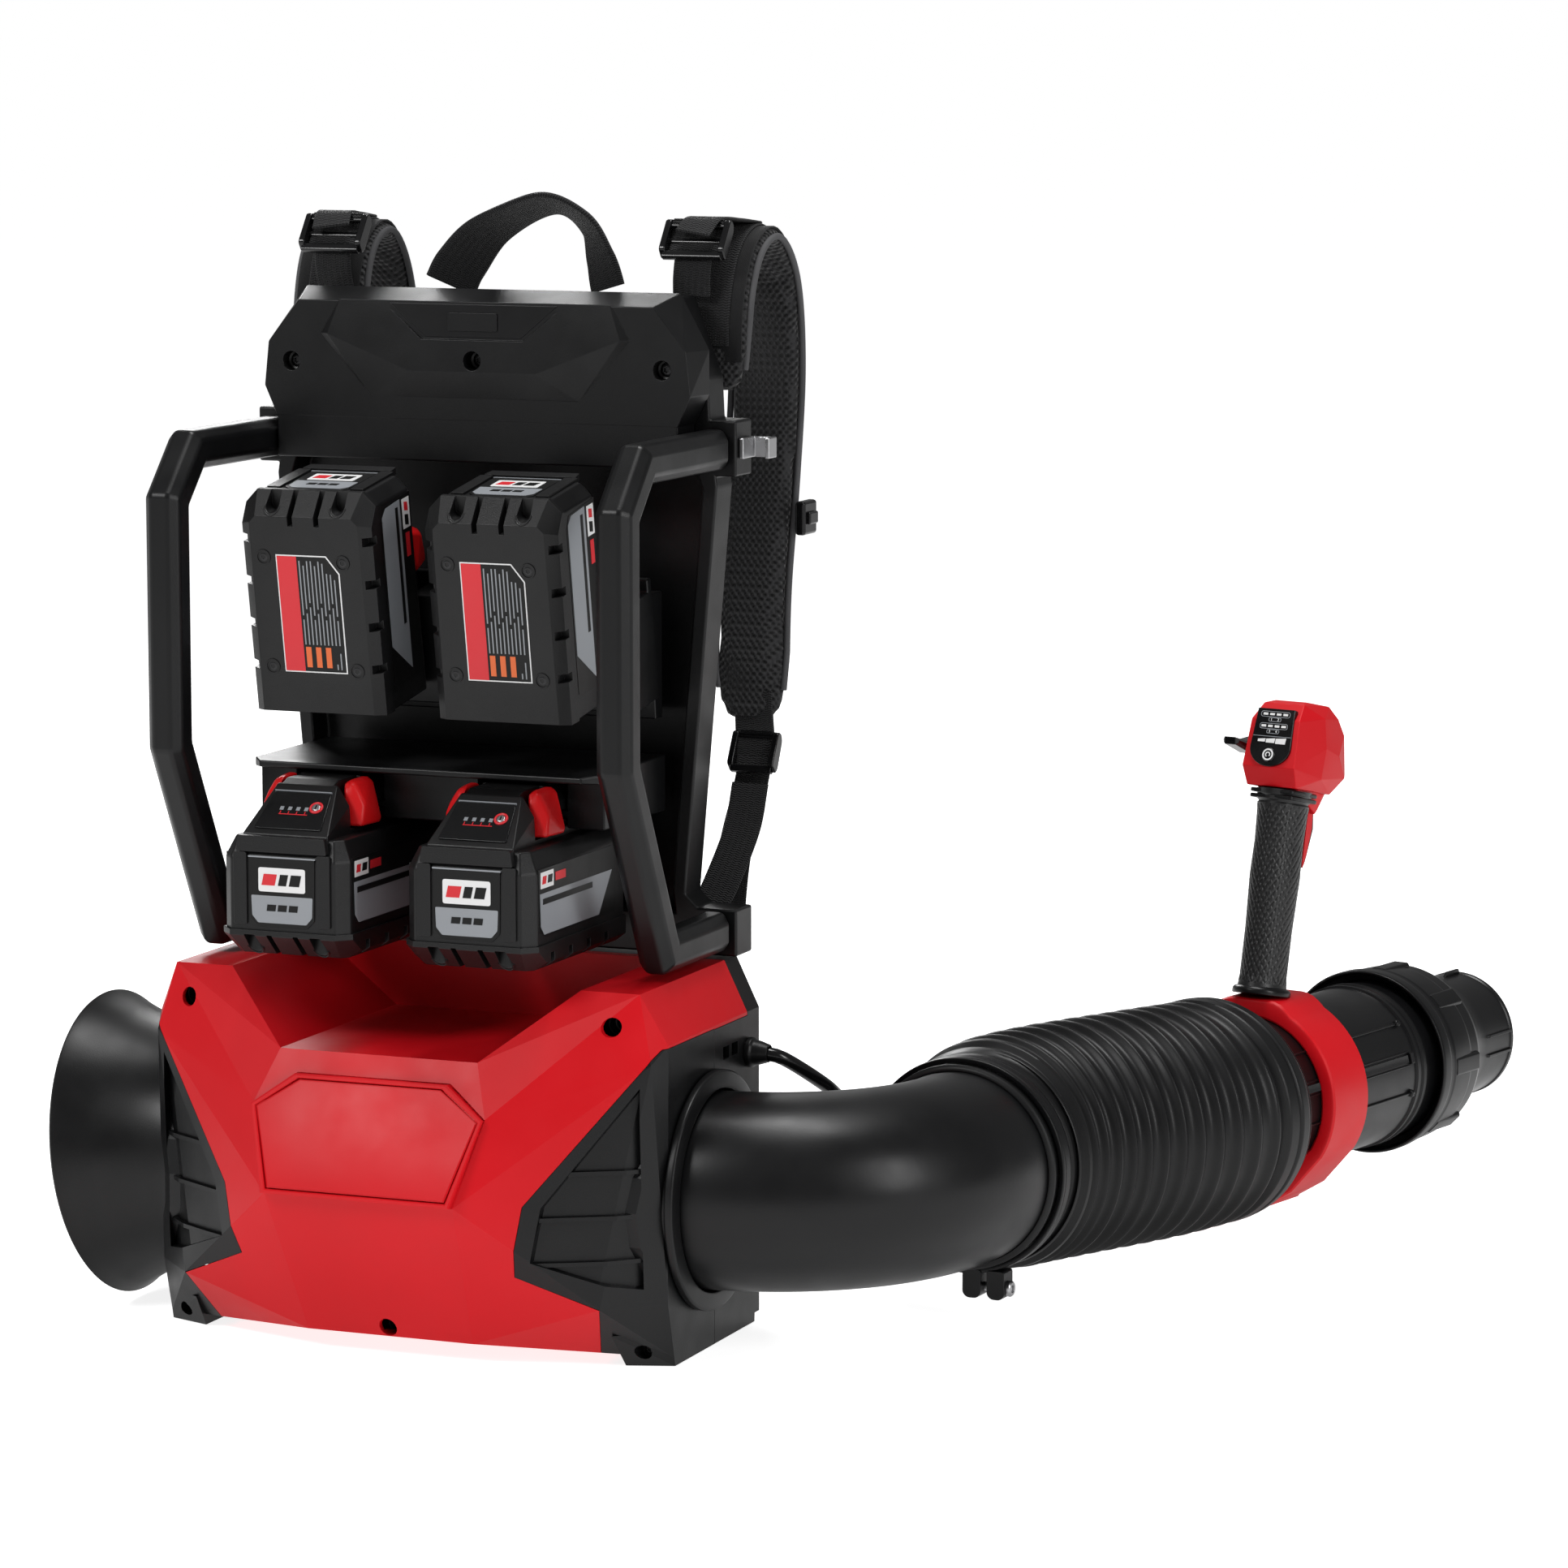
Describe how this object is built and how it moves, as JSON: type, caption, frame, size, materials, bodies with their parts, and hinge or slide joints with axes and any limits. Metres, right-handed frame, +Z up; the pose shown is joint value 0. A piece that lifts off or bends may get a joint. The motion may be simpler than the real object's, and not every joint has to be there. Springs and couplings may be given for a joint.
{
  "type": "backpack leaf blower",
  "caption": "Battery backpack leaf blower: faceted fan base, frame with battery packs, padded harness, swivelling elbow, corrugated hose and straight tube with a pistol control handle.",
  "frame": {"origin": "middle of the base's flat rest pad, on the plane the feet stand on", "axes": "+Z up, +X from the intake bell to the outlet elbow, +Y from the battery side to the operator's back"},
  "size_m": [0.7546, 0.8505, 0.713],
  "materials": {
    "red_plastic": "satin moulded",
    "black_plastic": "fine texture",
    "gloss_black": "semi-gloss",
    "black_rubber": "matte",
    "black_fabric": "woven nylon",
    "steel": "brushed"
  },
  "bodies": {
    "chassis": {"front_housing": "red_plastic", "rear_housing": "black_plastic", "side_frame_right": "black_plastic", "side_frame_left": "black_plastic", "intake_bell": "black_plastic", "intake_guard": "black_plastic", "fan_duct": "black_plastic", "outlet_collar": "black_plastic", "back_plate": "black_plastic", "front_panel": "black_plastic", "lower_mount": "black_plastic", "upper_mount": "black_plastic", "bumper_right": "black_plastic", "bumper_left": "black_plastic", "ladder_buckle_right": "gloss_black", "ladder_buckle_left": "gloss_black", "lower_buckle_right": "gloss_black", "lower_buckle_left": "gloss_black", "chest_clip": "gloss_black", "back_pad": "black_fabric", "carry_handle": "black_fabric", "strap_right": "black_fabric", "strap_left": "black_fabric", "lower_web_right": "black_fabric", "lower_web_left": "black_fabric", "lifter_web_right": "black_fabric", "lifter_web_left": "black_fabric", "control_cable": "black_rubber", "cable_gland": "black_rubber", "motor_stator": "steel", "hose_hook": "steel"},
    "rotor": {"impeller": "black_plastic", "motor_shaft": "steel"},
    "elbow": {"elbow": "gloss_black", "bellows": "black_rubber", "hose_clamp": "black_plastic", "clamp_screw": "steel"},
    "hose_end": {"hose_cuff": "black_plastic"},
    "tube": {"swivel_tube": "black_plastic"},
    "handle": {"clamp_ring": "red_plastic", "grip": "black_rubber", "control_head": "red_plastic", "display_panel": "gloss_black"},
    "trigger": {"trigger": "black_plastic"},
    "cruise_lever": {"cruise_lever": "black_plastic"},
    "power_button": {"power_button": "gloss_black"},
    "lock_collar": {"lock_collar": "black_plastic"},
    "nozzle": {"nozzle": "black_plastic"},
    "pack_lower_left": {"battery_lower_left": "black_plastic"},
    "release_lower_left_outer": {"release_lower_left_outer": "red_plastic"},
    "release_lower_left_inner": {"release_lower_left_inner": "red_plastic"},
    "pack_lower_right": {"battery_lower_right": "black_plastic"},
    "release_lower_right_outer": {"release_lower_right_outer": "red_plastic"},
    "release_lower_right_inner": {"release_lower_right_inner": "red_plastic"},
    "pack_upper_left": {"battery_upper_left": "black_plastic"},
    "release_upper_left_outer": {"release_upper_left_outer": "red_plastic"},
    "release_upper_left_inner": {"release_upper_left_inner": "red_plastic"},
    "pack_upper_right": {"battery_upper_right": "black_plastic"},
    "release_upper_right_outer": {"release_upper_right_outer": "red_plastic"},
    "release_upper_right_inner": {"release_upper_right_inner": "red_plastic"}
  },
  "joints": [
    {"name": "fan_spin", "type": "hinge", "parent": "chassis", "child": "rotor", "pos_m": [-0.05, -0.005, 0.1], "axis": [1, 0, 0], "continuous": true},
    {"name": "elbow_turn", "type": "hinge", "parent": "chassis", "child": "elbow", "pos_m": [0.165, -0.005, 0.1], "axis": [1, 0, 0], "range_deg": [-30, 70], "deforming": ["control_cable"]},
    {"name": "hose_bend", "type": "hinge", "parent": "elbow", "child": "hose_end", "pos_m": [0.341, 0.256, 0.1], "axis": [0, 0, 1], "range_deg": [-25, 25], "deforming": ["bellows"]},
    {"name": "tube_swivel", "type": "hinge", "parent": "hose_end", "child": "tube", "pos_m": [0.3857, 0.36, 0.1], "axis": [0.225, 0.9744, 0], "range_deg": [-60, 60]},
    {"name": "handle_slide", "type": "slide", "parent": "tube", "child": "handle", "axis": [0.225, 0.9744, 0], "range_m": [-0.025, 0.07]},
    {"name": "trigger_pull", "type": "hinge", "parent": "handle", "child": "trigger", "pos_m": [0.41109, 0.46998, 0.29161], "axis": [-0.9744, 0.225, 0], "range_deg": [0, 6], "stiffness_Nm_per_rad": 0.5, "springref_deg": -5.73},
    {"name": "cruise_turn", "type": "hinge", "parent": "handle", "child": "cruise_lever", "pos_m": [0.3766, 0.45839, 0.33185], "axis": [0.9744, -0.225, 0], "range_deg": [-30, 30]},
    {"name": "power_press", "type": "slide", "parent": "handle", "child": "power_button", "axis": [0.2114, 0.9156, -0.342], "range_m": [0, 0.0008], "stiffness_N_per_m": 400, "springref_m": -0.002},
    {"name": "collar_turn", "type": "hinge", "parent": "tube", "child": "lock_collar", "pos_m": [0.43744, 0.5841, 0.1], "axis": [0.225, 0.9744, 0], "range_deg": [0, 30]},
    {"name": "nozzle_pull", "type": "slide", "parent": "tube", "child": "nozzle", "axis": [0.225, 0.9744, 0], "range_m": [0, 0.055]},
    {"name": "pack_slide_lower_left", "type": "slide", "parent": "chassis", "child": "pack_lower_left", "axis": [0, -1, 0], "range_m": [0, 0.15]},
    {"name": "release_press_lower_left_outer", "type": "slide", "parent": "pack_lower_left", "child": "release_lower_left_outer", "axis": [-1, 0, 0], "range_m": [0, 0.003], "stiffness_N_per_m": 300, "springref_m": -0.004},
    {"name": "release_press_lower_left_inner", "type": "slide", "parent": "pack_lower_left", "child": "release_lower_left_inner", "axis": [1, 0, 0], "range_m": [0, 0.003], "stiffness_N_per_m": 300, "springref_m": -0.004},
    {"name": "pack_slide_lower_right", "type": "slide", "parent": "chassis", "child": "pack_lower_right", "axis": [0, -1, 0], "range_m": [0, 0.15]},
    {"name": "release_press_lower_right_outer", "type": "slide", "parent": "pack_lower_right", "child": "release_lower_right_outer", "axis": [-1, 0, 0], "range_m": [0, 0.003], "stiffness_N_per_m": 300, "springref_m": -0.004},
    {"name": "release_press_lower_right_inner", "type": "slide", "parent": "pack_lower_right", "child": "release_lower_right_inner", "axis": [1, 0, 0], "range_m": [0, 0.003], "stiffness_N_per_m": 300, "springref_m": -0.004},
    {"name": "pack_slide_upper_left", "type": "slide", "parent": "chassis", "child": "pack_upper_left", "axis": [0, -0.1633, 0.9866], "range_m": [0, 0.15]},
    {"name": "release_press_upper_left_outer", "type": "slide", "parent": "pack_upper_left", "child": "release_upper_left_outer", "axis": [-1, 0, 0], "range_m": [0, 0.003], "stiffness_N_per_m": 300, "springref_m": -0.004},
    {"name": "release_press_upper_left_inner", "type": "slide", "parent": "pack_upper_left", "child": "release_upper_left_inner", "axis": [1, 0, 0], "range_m": [0, 0.003], "stiffness_N_per_m": 300, "springref_m": -0.004},
    {"name": "pack_slide_upper_right", "type": "slide", "parent": "chassis", "child": "pack_upper_right", "axis": [0, -0.1633, 0.9866], "range_m": [0, 0.15]},
    {"name": "release_press_upper_right_outer", "type": "slide", "parent": "pack_upper_right", "child": "release_upper_right_outer", "axis": [-1, 0, 0], "range_m": [0, 0.003], "stiffness_N_per_m": 300, "springref_m": -0.004},
    {"name": "release_press_upper_right_inner", "type": "slide", "parent": "pack_upper_right", "child": "release_upper_right_inner", "axis": [1, 0, 0], "range_m": [0, 0.003], "stiffness_N_per_m": 300, "springref_m": -0.004}
  ]
}
